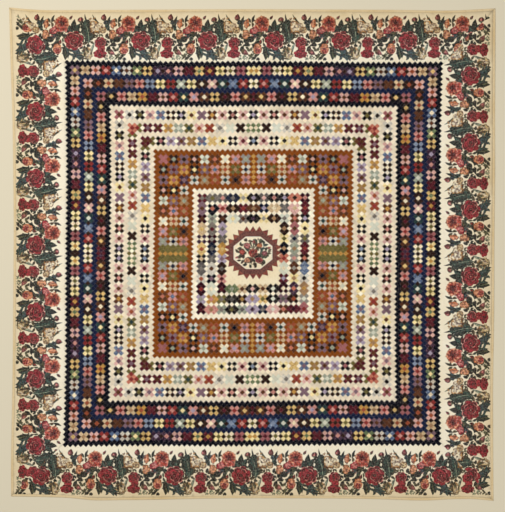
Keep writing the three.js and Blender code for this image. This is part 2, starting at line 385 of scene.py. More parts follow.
# The inner frame has another cross at every place: rows from the top down, crosses from the left
INNER_CROSSES = [
    "maroon/grey grey/olive charcoal/pink ink/grey lemon/ash black/lavender charcoal/blush"
    " black/pink black/lavender salmon/cocoa wine/pink",
    "mauve/brown navy/salmon pink/red cocoa/tan maroon/red brown/tan ink/lavender buff/cream"
    " charcoal/grey blush/buff maroon/red",
    "wine/brown sage/grey cocoa/brown mist/lemon grey/brown black/plum lemon/ash cocoa/tan"
    " mist/grey brown/salmon black/lavender",
    "buff/yellow grey/maroon lavender/grey - - - - - cocoa/tan rose/brown lemon/cocoa",
    "plum/cream wine/ash charcoal/grey - - - - - lemon/olive ash/ink charcoal/olive",
    "yellow/brick ink/charcoal gold/yellow - - - - - navy/tan sage/tan maroon/red",
    "black/buff charcoal/grey lavender/mauve - - - - - salmon/red ash/pink cocoa/salmon",
    "charcoal/grey white/brown cocoa/charcoal - - - - - mist/cream brown/ash blue/paleblue",
    "white/brick navy/mauve pink/maroon - - - - - maroon/lavender lemon/tan white/black",
    "wine/red mist/cream wine/maroon green/sage buff/brown black/blush buff/brown black/mist"
    " wine/cream plum/salmon tan/gold",
    "lavender/ash gold/pink olive/grey black/charcoal cocoa/ochre lavender/tan yellow/olive"
    " black/mist mauve/charcoal cocoa/brick ash/mist",
    "wine/maroon pink/tan sage/grey black/olive sage/charcoal lavender/plum ink/grey blush/white"
    " brown/salmon maroon/wine rose/red",
]

# A frame: its last column and row, those of the frame within it, the cottons of its edge, of the
# rows between its rings and of the squares between its crosses, and its rings
FRAMES = {
    "inner_frame": {
        "last": (23, 25),
        "within": (GROUND_COLUMN, GROUND_ROW),
        "edge": "ivory",
        "between": "ivory",
        "fill": None,
        "rings": {3: "", 7: "", 11: ""},
        "slot": "patchwork_dark_on_white",
    },
    "brown_frame": {
        "last": (38, 40),
        "within": (23, 25),
        "edge": "rust",
        "between": "rust",
        "fill": "rust",
        "rings": BROWN_CROSSES,
        "slot": "patchwork_brown",
    },
    "cream_frame": {
        "last": (55, 57),
        "within": (38, 40),
        "edge": "calico",
        "between": "calico",
        "fill": "ivory",
        "rings": CREAM_CROSSES,
        "slot": "patchwork_cream",
    },
    "navy_frame": {
        "last": (COVER_COLUMN, COVER_ROW),
        "within": (55, 57),
        "edge": "navy",
        "between": "slate",
        "fill": "cocoa",
        "rings": NAVY_CROSSES,
        "slot": "patchwork_navy",
    },
}
CROSS_PITCH = 4

# The middle cross's place in the inner frame's chart
INNER_MIDDLE = (5, 5)
OLIVE_ROWS = 3


def inner_cotton(column, row, is_ring, between):
    """The cotton of a square in the inner frame, where each cross is charted by itself."""
    if not is_ring:
        return between
    across = round(column / CROSS_PITCH)
    down = round((row - 2) / CROSS_PITCH)
    line = INNER_CROSSES[INNER_MIDDLE[1] - down].split()
    arms, middle = line[across + INNER_MIDDLE[0]].split("/")
    is_middle = (column, row) == (CROSS_PITCH * across, CROSS_PITCH * down + 2)
    return middle if is_middle else arms


def cotton_at(name, column, row):
    """The name of the cotton of one square of a frame."""
    plan = FRAMES[name]
    column_left = plan["last"][0] - abs(column)
    row_left = plan["last"][1] - abs(row)
    depth = min(column_left, row_left)
    rings = [ring for ring in plan["rings"] if abs(depth - ring) <= 1]
    if depth < 2 or depth > max(plan["rings"]) + 1:
        return plan["edge"]
    if name == "inner_frame":
        return inner_cotton(column, row, bool(rings), plan["between"])
    if name == "brown_frame" and column_left < row_left and abs(row) <= OLIVE_ROWS:
        return "gold" if row == 0 else "olive"
    if not rings:
        return plan["between"]
    ring = rings[0]
    along = (column_left if row_left <= column_left else row_left) - ring
    if name == "cream_frame" and ring > 3 and along >= 2:
        if along == 3:
            return "olive"
        along -= 2
    cross, place = divmod(along + 1, CROSS_PITCH)
    crosses = plan["rings"][ring].split()
    if place == 3:
        return plan["fill"]
    if cross >= len(crosses):
        return "gold" if name == "brown_frame" else plan["fill"]
    arms, middle = crosses[cross].split("/")
    return middle if place == 1 else arms


def make_patch_shape():
    """One sewn square, a low block with rounded shoulders: points, faces, and which are its top."""
    bm = bmesh.new()
    bmesh.ops.create_cube(bm, size=2)
    top = max(bm.faces, key=lambda face: face.calc_center_median().z)
    low_to_rim = (PATCH_RIM - PATCH_UNDER) / 2
    for inset, rise in PATCH_STEPS:
        bmesh.ops.inset_region(bm, faces=[top], thickness=inset, depth=rise / low_to_rim)
    bm.verts.index_update()
    points = np.array([vert.co[:] for vert in bm.verts])
    points[:, 2] = PATCH_UNDER + (points[:, 2] + 1) * low_to_rim
    faces = [[vert.index for vert in face.verts] for face in bm.faces]
    is_top = [face.normal.z > 0.3 for face in bm.faces]
    bm.free()
    return points, np.array(faces), np.array(is_top)


PATCH_POINTS, PATCH_FACES, PATCH_TOPS = make_patch_shape()
PATCH_CORNERS = [((1, -1), (1, 0)), ((1, 1), (0, 1)), ((-1, 1), (-1, 0)), ((-1, -1), (0, -1))]

# Half a square in the prints' own centimetres, and how much cloth the squares were cut from
PRINT_SPAN = PATCH_SIDE / 2 / 0.01
CLOTH_SPAN = 50
FADING = 0.07


# The size and place, in a square's cell of the baked map, of its top and of its other faces
TOP_PLACE = ((0.88, 0.78), (0.06, 0.18))
RIM_PLACE = ((0.88, 0.08), (0.06, 0.04))


def patch_atlas(count):
    """Where each square's faces lie on the baked map: its top large, the rest in a strip."""
    cells = math.ceil(math.sqrt(count))
    corners = PATCH_POINTS[PATCH_FACES.ravel(), :2].reshape(*PATCH_FACES.shape, 2)
    share = corners * 0.5 + 0.5
    for which, (size, place) in ((PATCH_TOPS, TOP_PLACE), (~PATCH_TOPS, RIM_PLACE)):
        share[which] = share[which] * size + place
    numbers = np.arange(count)
    cell = np.stack([numbers % cells, numbers // cells], axis=-1)
    return (cell[:, None, None, :] + share[None]) / cells


def add_attribute(mesh, name, values, kind="FLOAT_COLOR", domain="POINT"):
    layer = mesh.attributes.new(name, kind, domain)
    key = "color" if kind == "FLOAT_COLOR" else "value"
    layer.data.foreach_set(key, np.ascontiguousarray(values, np.float32).ravel())


def add_map(mesh, name, values):
    layer = mesh.uv_layers.new(name=name)
    layer.data.foreach_set("uv", np.ascontiguousarray(values, np.float32).ravel())


def new_piece(mesh, name, material, nodes):
    """A finished piece: shaded softly, riding with the cover and standing for its nodes."""
    piece = bpy.data.objects.new(name, mesh)
    bpy.context.scene.collection.objects.link(piece)
    mesh.materials.append(material)
    mesh.shade_smooth()
    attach(piece, "root")
    if nodes:
        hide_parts(*nodes)
    return piece


def squares_of_side(name, side):
    """Columns and rows of the squares in one mitred side of a frame."""
    last_column, last_row = FRAMES[name]["last"]
    within_column, within_row = FRAMES[name]["within"]
    found = []
    for row in range(-last_row, last_row + 1):
        for column in range(-last_column, last_column + 1):
            is_inside = abs(column) <= within_column and abs(row) <= within_row
            if (column + row) % 2 or is_inside or side_of_square(column, row) != side:
                continue
            found.append((column, row))
    return np.array(found)


def side_of_square(column, row):
    if row - abs(column) >= 2:
        return "top"
    if -row - abs(column) >= 2:
        return "bottom"
    return "right" if column > 0 else "left"


def sewn_squares(columns, rows, chance):
    """The points of the squares, each drawn to its four sewn corners and a little tilted."""
    sewn = np.stack(
        [seam_corner(columns + step[0], rows + step[1]) for _, step in PATCH_CORNERS], axis=1
    )
    across = PATCH_POINTS[:, :2] * (1 - 2 * SEAM_GAP / PATCH_SIDE)
    shares = [(1 + a * across[:, 0]) * (1 + b * across[:, 1]) / 4 for (a, b), _ in PATCH_CORNERS]
    flat = np.einsum("cv,ncd->nvd", np.array(shares), sewn)
    is_raised = PATCH_POINTS[:, 2] > PATCH_RIM + 1e-6
    tilt = chance.normal(0, 0.5, (len(columns), 2)) @ PATCH_POINTS[:, :2].T
    lift = chance.uniform(-1, 1, (len(columns), 1)) + tilt
    heights = PATCH_POINTS[None, :, 2] + is_raised * np.clip(lift, -1, 1) * PATCH_RISE
    return np.concatenate([flat, heights[..., None]], axis=-1).reshape(-1, 3)


def print_squares(mesh, cottons, chance):
    """Gives each square its cotton, faded by its own share and cut at its own place and turn."""
    count = len(cottons)
    fading = chance.normal(1, FADING, (count, 1))
    for attribute, which in (("Ground", 0), ("Figure", 1)):
        colours = np.array([linear(*COTTONS[cotton][which]) for cotton in cottons]) * fading
        add_attribute(mesh, attribute, np.repeat(colours.clip(0, 1), len(PATCH_POINTS), axis=0))
    kinds = np.array([COTTONS[cotton][2] for cotton in cottons], float)
    add_attribute(mesh, "Kind", np.repeat(kinds, len(PATCH_POINTS)), "FLOAT")
    turns = chance.integers(0, 4, count) * math.pi / 2 + chance.normal(0, 0.1, count)
    cos, sin = np.cos(turns), np.sin(turns)
    turned = np.stack([np.stack([cos, -sin], -1), np.stack([sin, cos], -1)], 1)
    corners = PATCH_POINTS[PATCH_FACES.ravel(), :2] * PRINT_SPAN
    places = np.einsum("lv,nwv->nlw", corners, turned)
    add_map(mesh, "Print", places + chance.uniform(0, CLOTH_SPAN, (count, 1, 2)))


def add_frame_side(name, side, seed):
    squares = squares_of_side(name, side)
    count = len(squares)
    chance = seeded(seed)
    points = sewn_squares(squares[:, 0], squares[:, 1], chance)
    faces = PATCH_FACES[None] + np.arange(count)[:, None, None] * len(PATCH_POINTS)
    node = f"{name}_{side}"
    mesh = bpy.data.meshes.new(node + "_squares")
    mesh.from_pydata(points.tolist(), [], faces.reshape(-1, PATCH_FACES.shape[1]).tolist())
    print_squares(mesh, [cotton_at(name, *square) for square in squares.tolist()], chance)
    add_map(mesh, "OFBake", patch_atlas(count))
    piece = new_piece(mesh, node + "_squares", PIECED_COTTON, [node])


SIDES = ("top", "right", "bottom", "left")
for level, frame_name in enumerate(FRAMES):
    for number, side_name in enumerate(SIDES):
        add_frame_side(frame_name, side_name, 100 + 10 * level + number)


# The medallion's ground. One square of plain cream cotton, its edge turned in to the sawtooth
# of the frame round it; a little slack between its seams makes low, soft rises in it.
# The lift holds its underside off the surface where a pucker draws it down.
GROUND_THICK = 0.002
GROUND_LIFT = 0.0005
GROUND_SPACING = 0.012
GROUND_PUCKER = (0.0004, 0.02)
CREAM_COTTON = (240, 226, 194)

# Room between pieces, and each side's share of it at a slanting seam
GAP = 0.0003
SLANT_GAP = GAP / math.sqrt(2)

# The ways out of the cover and along it, for each side
OUTWARD = {"top": (0, 1), "right": (1, 0), "bottom": (0, -1), "left": (-1, 0)}
AHEAD = {"top": (1, 0), "right": (0, 1), "bottom": (1, 0), "left": (0, 1)}


def finished_mesh(bm, name):
    mesh = bpy.data.meshes.new(name)
    bm.to_mesh(mesh)
    bm.free()
    return mesh


def sawtooth(side, last, moved, more=0):
    """The tips and valleys of the last squares on one side, moved out or in a little."""
    outward, ahead = np.array(OUTWARD[side]), np.array(AHEAD[side])
    line = last[1] if side in ("top", "bottom") else last[0]
    end = (last[0] + 1 if side in ("top", "bottom") else last[1] - 1) + more
    points = []
    for place in range(-end, end + 1):
        out = line + 1 if (place + line) % 2 == 0 else line
        points.append(seam_corner(*(out * outward + place * ahead)) + outward * moved)
    return points


def grid_inside(points, spacing):
    """Evenly staggered points over the box of an outline, to let a sheet bend."""
    low = np.min(points, axis=0) + spacing / 2
    high = np.max(points, axis=0) - spacing / 2
    found = []
    for line, y in enumerate(np.arange(low[1], high[1], spacing)):
        start = low[0] + (spacing / 2 if line % 2 else 0)
        found += [(x, y) for x in np.arange(start, high[0], spacing)]
    return found


def signed_area(outline):
    """Area within an outline, positive where it runs anticlockwise."""
    x, y = np.array(outline).T
    return float(np.dot(x, np.roll(y, -1)) - np.dot(y, np.roll(x, -1))) / 2


def anticlockwise(outline):
    return outline if signed_area(outline) > 0 else outline[::-1]


def close_underneath(bm, thick):
    """Drops the sheet's rim by its thickness and fills its underside with long plain faces."""
    rim = [edge for edge in bm.edges if edge.is_boundary]
    dropped = bmesh.ops.extrude_edge_only(bm, edges=rim)["geom"]
    low = [item for item in dropped if isinstance(item, bmesh.types.BMVert)]
    bmesh.ops.translate(bm, verts=low, vec=(0, 0, -thick))
    edges = [item for item in dropped if isinstance(item, bmesh.types.BMEdge)]
    open_rim = [edge for edge in edges if edge.is_boundary]
    bmesh.ops.triangle_fill(bm, edges=open_rim, use_beauty=False, normal=(0, 0, -1))


def join_hidden_lines(bm, plain):
    """Joins the faces of one printed colour, so that no line of a covered shape is left."""
    hidden = []
    for edge in bm.edges:
        sides = [face.material_index for face in edge.link_faces]
        if len(sides) == 2 and sides[0] == sides[1] != plain:
            hidden.append(edge)
    bmesh.ops.dissolve_limit(bm, angle_limit=0.3, verts=[], edges=hidden, delimit={"MATERIAL"})
    joined = [face for face in bm.faces if len(face.verts) > 3]
    bmesh.ops.triangulate(bm, faces=joined, quad_method="BEAUTY", ngon_method="BEAUTY")


def inlaid_mesh(name, outline, shapes, spacing, plain_ink, height_of, thick, join=False):
    """A flat sheet in triangles, cut to an outline, whose printed shapes are its own faces.
    Each shape is an ink and its outline, and a later one covers an earlier one."""
    points = [Vector(point) for point in anticlockwise(outline)]
    faces = [list(range(len(outline)))]
    inks = [plain_ink]
    for ink, shape in shapes:
        first = len(points)
        points += [Vector(point) for point in anticlockwise(shape)]
        faces.append(list(range(first, first + len(shape))))
        inks.append(ink)
    points += [Vector(point) for point in grid_inside(outline, spacing)]
    made, _, triangles, _, _, sources = delaunay_2d_cdt(points, [], faces, 1, 1e-7, True)
    kept = [place for place, source in enumerate(sources) if 0 in source]
    bm = bmesh.new()
    ink_layer = bm.loops.layers.float_color.new("Ink")
    verts = [bm.verts.new((point.x, point.y, float(height_of(*point)))) for point in made]
    kinds = sorted(set(inks))
    for place in kept:
        face = bm.faces.new([verts[index] for index in triangles[place]])
        ink = inks[max(sources[place])]
        face.material_index = kinds.index(ink)
        is_printed = 0.0 if ink == plain_ink else 1.0
        for loop in face.loops:
            loop[ink_layer] = (*linear(*ink)[:3], is_printed)
    bmesh.ops.delete(bm, geom=[v for v in bm.verts if not v.link_faces], context="VERTS")
    if join:
        join_hidden_lines(bm, kinds.index(plain_ink))
    for face in bm.faces:
        face.material_index = 0
    close_underneath(bm, thick)
    return finished_mesh(bm, name)


def read_all(items, name, wide=1, kind=float):
    """One property of every item, a row each."""
    values = np.zeros(len(items) * wide, kind)
    items.foreach_get(name, values)
    return values.reshape(-1, wide)


def corner_places(mesh):
    """The place of the point at each corner of each face."""
    return read_all(mesh.vertices, "co", 3)[read_all(mesh.loops, "vertex_index", 1, int)[:, 0]]


def flat_map(mesh, size):
    """The baked map of a sheet that lies flat over it, scaled to the given span."""
    flat = corner_places(mesh)[:, :2]
    add_map(mesh, "OFBake", (flat - flat.min(axis=0)) / size)


def puckers(x, y, height, length):
    """Soft low rises of slack cloth between its seams."""
    first = np.sin(x / length + 1.3 * np.sin(y / (1.7 * length)))
    second = np.sin(y / (0.8 * length) - 1.1 * np.sin(x / (2.1 * length)) + 0.6)
    return height * (0.5 + 0.25 * first + 0.25 * second)


SHADE_TINT = (0.2, 0.14, 0.18, 1.0)
LIGHT_TINT = (0.6, 0.46, 0.4, 1.0)
LINE_SHARE = 0.42


def make_print_shading():
    """The engraver's work in a printed figure: soft dark shading and fine light lines."""
    inputs = {"Ink": ("Color", (0.8, 0.8, 0.8, 1.0)), "Printed": ("Float", 0.0)}
    group, entry, leave = new_group("engraved_shading", inputs, "Color")
    place = on_cover(group)
    deep = ramp(group, noise(group, place, 75.0, 4.0, 0.65), 0.42, 0.6)
    bent = put(group, "TexNoise", {"Vector": place, "Scale": 60.0, "Detail": 1.0})
    sockets = {0: bent.outputs["Color"], 1: (0.02, 0.02, 0.0), 2: place}
    moved = put(group, "VectorMath", sockets, operation="MULTIPLY_ADD").outputs[0]
    sockets = {"Vector": moved, "Scale": 88.0}
    veins = put(
        group, "TexVoronoi", sockets, feature="DISTANCE_TO_EDGE", voronoi_dimensions="2D"
    )
    fine = ramp(group, veins.outputs["Distance"], 0.06, 0.01, 0.0, LINE_SHARE)
    shaded = maths(group, "MULTIPLY", deep, entry.outputs["Printed"])
    dark = painted(group, shaded, entry.outputs["Ink"], SHADE_TINT, "MULTIPLY")
    lined = maths(group, "MULTIPLY", fine, entry.outputs["Printed"])
    light = painted(group, lined, dark, LIGHT_TINT, "SCREEN")
    group.links.new(light, leave.inputs["Color"])
    return group


PRINT_SHADING = make_print_shading()


def make_printed_cloth(name, threads, depth, roughness, sheen, clouds, marks, edge=0.0):
    """Cloth whose print is in its faces' ink, a little uneven as ink takes on cloth."""
    material = empty_material(name)
    tree = material.node_tree
    read = put(tree, "Attribute", {}, attribute_name="Ink")
    sockets = {"Ink": read.outputs["Color"], "Printed": read.outputs["Alpha"]}
    ink = put(tree, "Group", sockets, node_tree=PRINT_SHADING).outputs["Color"]
    thin = ramp(tree, noise(tree, on_cover(tree), 420.0, 4.0), 0.5, 0.75, 0.0, 0.1)
    uneven = painted(tree, thin, ink, linear(236, 220, 186))
    aged = woven_finish(material, uneven, threads, depth, roughness, sheen)
    aged.inputs["Clouds"].default_value = clouds
    aged.inputs["Marks"].default_value = marks
    aged.inputs["Edge"].default_value = edge
    return material


MEDALLION_CLOTH = make_printed_cloth("cream_cotton", 900.0, 0.00015, 0.88, 0.05, 0.5, 0.3)


def add_medallion_ground():
    last = (GROUND_COLUMN, GROUND_ROW)
    top, right, bottom, left = [sawtooth(side, last, -SLANT_GAP) for side in SIDES]
    outline = bottom + right + top[::-1] + left[::-1]
    mesh = inlaid_mesh(
        "medallion_ground_cloth",
        outline,
        [],
        GROUND_SPACING,
        CREAM_COTTON,
        lambda x, y: GROUND_THICK - puckers(x, y, *GROUND_PUCKER),
        GROUND_THICK - GROUND_LIFT,
    )
    size = np.ptp(outline, axis=0)
    flat_map(mesh, size)
    name = "medallion_ground"
    piece = new_piece(mesh, name + "_cloth", MEDALLION_CLOTH, [name])


add_medallion_ground()


# The sunburst. An octagon of small printed madder cotton with three pointed rays on each side,
# turned in all round and sewn down on the ground; its side rays reach over the inner frame.
SUNBURST_MIDDLE = np.array((0.004, 0.008))
SUNBURST = {"half_width": 0.143, "half_height": 0.13, "flat_x": 0.057, "flat_y": 0.05}
RAYS_ON_A_SIDE = 3
RAY_LENGTH = 0.029
SUNBURST_LOW = 0.0023
APPLIED_THICK = 0.0012
APPLIED_LIFT = 0.0003
SUNBURST_SPACING = 0.006
SUNBURST_PUCKER = (0.0003, 0.008)
RING_INSET = 0.0015
MADDER_INKS = [(142, 80, 68), (130, 70, 64), (150, 88, 74), (136, 74, 64)]
RING_INK = (116, 78, 71)


def octagon(sizes, outset=0.0):
    """Corners of an octagon, anticlockwise from the left end of its top side."""
    wide = sizes["half_width"] + outset
    high = sizes["half_height"] + outset
    x = sizes["flat_x"] + outset * (math.sqrt(2) - 1)
    y = sizes["flat_y"] + outset * (math.sqrt(2) - 1)
    half = [(-x, high), (-wide, y), (-wide, -y), (-x, -high)]
    corners = half + [(-a, -b) for a, b in half]
    return [SUNBURST_MIDDLE + corner for corner in corners]


def sunburst_rays():
    """The foot, tip and foot of each ray."""
    corners = octagon(SUNBURST)
    rays = []
    for edge, start in enumerate(corners):
        end = corners[(edge + 1) % len(corners)]
        ahead = (end - start) / np.linalg.norm(end - start)
        outward = np.array((ahead[1], -ahead[0]))
        for ray in range(RAYS_ON_A_SIDE):
            feet = [start + (end - start) * (ray + step) / RAYS_ON_A_SIDE for step in (0, 1)]
            rays.append((feet[0], (feet[0] + feet[1]) / 2 + outward * RAY_LENGTH, feet[1]))
    return rays


def add_sunburst():
    rays = sunburst_rays()
    outline = [point for foot, tip, _ in rays for point in (foot, tip)]
    chance = random.Random(5)
    shapes = [(chance.choice(MADDER_INKS), [*ray]) for ray in rays]
    shapes += [(RING_INK, octagon(SUNBURST, -RING_INSET))]
    high = SUNBURST_LOW + APPLIED_THICK
    mesh = inlaid_mesh(
        "sunburst_cloth",
        outline,
        shapes,
        SUNBURST_SPACING,
        MADDER_INKS[0],
        lambda x, y: high - puckers(x, y, *SUNBURST_PUCKER),
        APPLIED_THICK - APPLIED_LIFT,
    )
    size = np.ptp(outline, axis=0)
    flat_map(mesh, size)
    piece = new_piece(mesh, "sunburst_cloth", make_madder(), ["sunburst"])


# The madder print's two figures: scale, place, kind and colour
MADDER_FIGURES = [
    (100, (0, 0, 0), SPRIGS, (52, 30, 34)),
    (160, (3, 7, 0), DOTS, (206, 160, 138)),
]


def make_madder():
    """Madder cotton with a small all-over dark and light figure."""
    material = empty_material("madder_print")
    tree = material.node_tree
    color = put(tree, "Attribute", {}, attribute_name="Ink").outputs["Color"]
    for scale, moved, kind, figure in MADDER_FIGURES:
        sockets = {"Vector": on_cover(tree), "Scale": (scale,) * 3, "Location": moved}
        place = put(tree, "Mapping", sockets).outputs[0]
        sockets = {"Ground": color, "Figure": linear(*figure), "Kind": kind, "Vector": place}
        color = put(tree, "Group", sockets, node_tree=COTTON_PRINT).outputs["Color"]
    woven_finish(material, color, 950.0, 0.00015, 0.86, 0.01)
    return material


add_sunburst()


# The panel. A printed octagon sewn over the sunburst, a posy in green, rose and brown on cream,
# with a narrow white edging folded over its cut edge and mitred at the corners.
PANEL = {"half_width": 0.11, "half_height": 0.091, "flat_x": 0.041, "flat_y": 0.037}
PANEL_LOW = 0.0038
PANEL_SPACING = 0.008
PANEL_PUCKER = (0.0003, 0.012)

PRINT_INKS = {
    "crimson": (146, 26, 48),
    "wine": (78, 14, 30),
    "cherry": (172, 48, 64),
    "shell": (216, 138, 132),
    "coral": (190, 76, 62),
    "ember": (146, 38, 40),
    "peach": (230, 164, 128),
    "apricot": (206, 122, 78),
    "honey": (198, 154, 98),
    "gold": (150, 102, 50),
    "sand": (216, 194, 150),
    "cream": (240, 230, 202),
    "mauve": (142, 80, 88),
    "leaf": (48, 82, 76),
    "pine": (20, 44, 42),
    "fern": (82, 98, 76),
    "moss": (88, 82, 56),
    "mint": (166, 184, 158),
    "blue": (58, 86, 98),
    "night": (16, 30, 36),
    "brown": (72, 44, 34),
}


def petal(across, up, long, wide, turn, bend=0.0, full=1.0, steps=4):
    """A petal or leaf outline from its foot outward: turn is anticlockwise from the right."""
    share = np.linspace(0, 1, steps + 1)
    half = wide / 2 * np.sin(math.pi * share**full)
    sway = bend * long * np.sin(math.pi * share)
    left = np.stack([long * share, sway + half], axis=-1)
    right = np.stack([long * share, sway - half], axis=-1)[1:-1][::-1]
    angle = math.radians(turn)
    cos, sin = math.cos(angle), math.sin(angle)
    flat = np.concatenate([left, right])
    x = flat[:, 0] * cos - flat[:, 1] * sin + across
    y = flat[:, 0] * sin + flat[:, 1] * cos + up
    return np.stack([x, y], axis=-1)


def disc(across, up, long, wide, steps):
    angles = np.arange(steps) * 2 * math.pi / steps
    return np.stack([across + long / 2 * np.cos(angles), up + wide / 2 * np.sin(angles)], axis=-1)


# Past this length a leaf has a midrib
RIBBED_LEAF = 70
LEAF_BEND = 0.08


def leaf(across, up, long, wide, turn, inks, steps=5):
    """A leaf with one side in shade and, where it is long, a light midrib, from its foot."""
    shade, face, rib = inks
    bend = LEAF_BEND
    shapes = [(shade, petal(across, up, long, wide, turn, bend, 0.85, steps))]
    side = math.radians(turn + 90)
    step = wide * 0.13
    at = (across + step * math.cos(side), up + step * math.sin(side))
    shapes.append((face, petal(*at, long * 0.94, wide * 0.55, turn, bend, 0.85, steps)))
    if long > RIBBED_LEAF:
        shapes.append((rib, petal(across, up, long * 0.9, wide * 0.07, turn, bend, 0.8, 4)))
    return shapes


BLOOM_RINGS = (1.0, 0.56)
BLOOM_PETALS = 5


def bloom(across, up, long, wide, turn, inks):
    """An open flower: a ring of petals with shaded edges and a ring within, round a small heart."""
    edge, face, heart = inks
    shapes = []
    for ring, share in enumerate(BLOOM_RINGS):
        for number in range(BLOOM_PETALS):
            around = turn + 360 * (number + 0.5 * ring) / BLOOM_PETALS
            angle = math.radians(around)
            uneven = 1 - 0.2 * ((number * 5 + ring * 3) % 4) / 3
            reach = share * uneven
            reach *= math.hypot(long / 2 * math.cos(angle), wide / 2 * math.sin(angle))
            spread = 1.9 * math.pi * reach / BLOOM_PETALS
            if ring == 0:
                shapes.append((edge, petal(across, up, reach, spread, around, 0.04, 1.7, 5)))
            light = petal(across, up, reach * 0.92, spread * 0.6, around + 4, 0.04, 1.7, 3)
            shapes.append((face, light))
    shapes.append((heart, disc(across, up, long * 0.16, wide * 0.16, 5)))
    return shapes


# A rose's rings from the outside in: share of its size, and petals
ROSE_RINGS = [(1.0, 7), (0.76, 6), (0.54, 5), (0.32, 3)]


def cabbage_rose(across, up, long, wide, turn, inks):
    """A full rose: overlapping petals in rings round its heart, light at their turned edges."""
    shade, body, edge, light = inks
    shapes = []
    for ring, (share, petals) in enumerate(ROSE_RINGS):
        round_petal = share * 2.9 / petals
        out = max(share - round_petal, 0.0) / 2 * 1.04
        for number in range(petals):
            around = math.radians(turn + 37 * ring + 360 * number / petals)
            cos, sin = math.cos(around), math.sin(around)
            at = (across + out * long * cos, up + out * wide * sin)
            rim = (edge, body, light, body)[(number + 2 * ring) % 4]
            face = (body, shade, body, shade, edge)[(number * 3 + ring) % 5]
            shapes.append((rim, disc(*at, round_petal * long, round_petal * wide, 7)))
            step = 0.06 * round_petal
            inward = (at[0] - step * long * cos, at[1] - step * wide * sin)
            size = round_petal * 0.88
            shapes.append((face, disc(*inward, long * size, wide * size, 7)))
        shapes.append((shade, disc(across, up, long * share * 0.68, wide * share * 0.68, 7)))
    shapes.append((light, disc(across, up, long * 0.07, wide * 0.07, 5)))
    return shapes


# The parts of one poppy petal, from under to over: which ink, its lean, its length and width as
# shares of the flower's size, how full it is toward its tip, and its points on each side
POPPY_PETAL = [
    (0, -24, 0.5, 0.34, 1.9, 4),
    (0, 24, 0.5, 0.34, 1.9, 4),
    (0, 0, 0.54, 0.34, 1.9, 4),
    (1, -20, 0.44, 0.28, 1.7, 3),
    (1, 18, 0.44, 0.28, 1.7, 3),
    (2, -22, 0.42, 0.055, 1.0, 3),
    (2, 0, 0.36, 0.055, 1.0, 3),
    (2, 20, 0.42, 0.055, 1.0, 3),
]


def poppy(across, up, long, wide, turn, inks):
    """A ragged poppy: five broad petals with light torn edges, dark streaks from its heart."""
    shapes = []
    for number in range(5):
        size = long if number % 2 else wide
        for ink, lean, reach, spread, full, steps in POPPY_PETAL:
            around = turn + 72 * number + lean
            outline = petal(across, up, size * reach, size * spread, around, 0.0, full, steps)
            shapes.append((inks[ink], outline))
    shapes.append((inks[3], disc(across, up, long * 0.24, wide * 0.2, 7)))
    return shapes


def bud(across, up, long, wide, turn, inks):
    """A closed bud in its sepals."""
    back, face, sepal = inks
    shapes = [(back, petal(across, up, long, wide, turn, 0.0, 0.75, 6))]
    shapes.append((face, petal(across, up, long * 0.85, wide * 0.5, turn + 5, 0.1, 0.8)))
    for spread in (-26, 24):
        shapes.append((sepal, petal(across, up, long * 0.45, wide * 0.3, turn + spread, 0.0)))
    return shapes


def broad_leaf(across, up, long, wide, turn, inks):
    """A great scalloped leaf, widest past its middle, with a midrib and light side veins."""
    shade, face, vein = inks
    shapes = [(shade, petal(across, up, long, wide, turn, -0.06, 1.25, 10))]
    along = math.radians(turn)
    for number in range(5):
        share = 0.32 + 0.13 * number
        foot = (across + share * long * math.cos(along), up + share * long * math.sin(along))
        reach = wide * 0.56 * math.sin(math.pi * share**1.5)
        for lean in (-52, 52):
            angle = along + math.radians(lean)
            tip = (foot[0] + 0.8 * reach * math.cos(angle), foot[1] + 0.8 * reach * math.sin(angle))
            shapes.append((face, disc(*tip, 18, 18, 6)))
            shapes.append((face, petal(*foot, reach, 12, turn + lean, 0.1, 1.2, 3)))
    shapes.append((vein, petal(across, up, long * 0.9, 3.0, turn, -0.06, 0.9, 6)))
    return shapes


BLADES = 7
BLADE_FAN = 90


def blades(across, up, long, wide, turn, inks):
    """A spray of narrow blades from one foot."""
    shapes = []
    for number in range(BLADES):
        lean = BLADE_FAN * (number / (BLADES - 1) - 0.5)
        reach = long * (0.75 + 0.25 * math.cos(math.radians(lean * 2)))
        ink = inks[number % len(inks)]
        shapes.append((ink, petal(across, up, reach, wide, turn + lean, 0.06 * (-1) ** number)))
    return shapes


CLUMP_LEAVES = 7


def foliage(across, up, long, wide, turn, inks):
    """A clump of small leaves, scattered over its place and pointing every way."""
    chance = random.Random(int(abs(across) * 31 + abs(up) * 17 + turn))
    shapes = []
    for number in range(CLUMP_LEAVES):
        around = turn + 360 * number / CLUMP_LEAVES + chance.uniform(-30, 30)
        angle = math.radians(around)
        out = chance.uniform(0.0, 0.26)
        foot = (across + out * long * math.cos(angle), up + out * wide * math.sin(angle))
        size = chance.uniform(0.46, 0.7) * math.hypot(long * math.cos(angle), wide * math.sin(angle))
        width = size * chance.uniform(0.44, 0.62)
        shapes += leaf(*foot, size, width, around + chance.uniform(-35, 35), inks, steps=3)
    return shapes


def stem(across, up, long, wide, turn, inks):
    return [(inks[0], petal(across, up, long, wide, turn, 0.14, 0.9, 8))]


MOTIFS = {
    "leaf": leaf,
    "broad": broad_leaf,
    "bloom": bloom,
    "rose": cabbage_rose,
    "poppy": poppy,
    "bud": bud,
    "blades": blades,
    "foliage": foliage,
    "stem": stem,
}

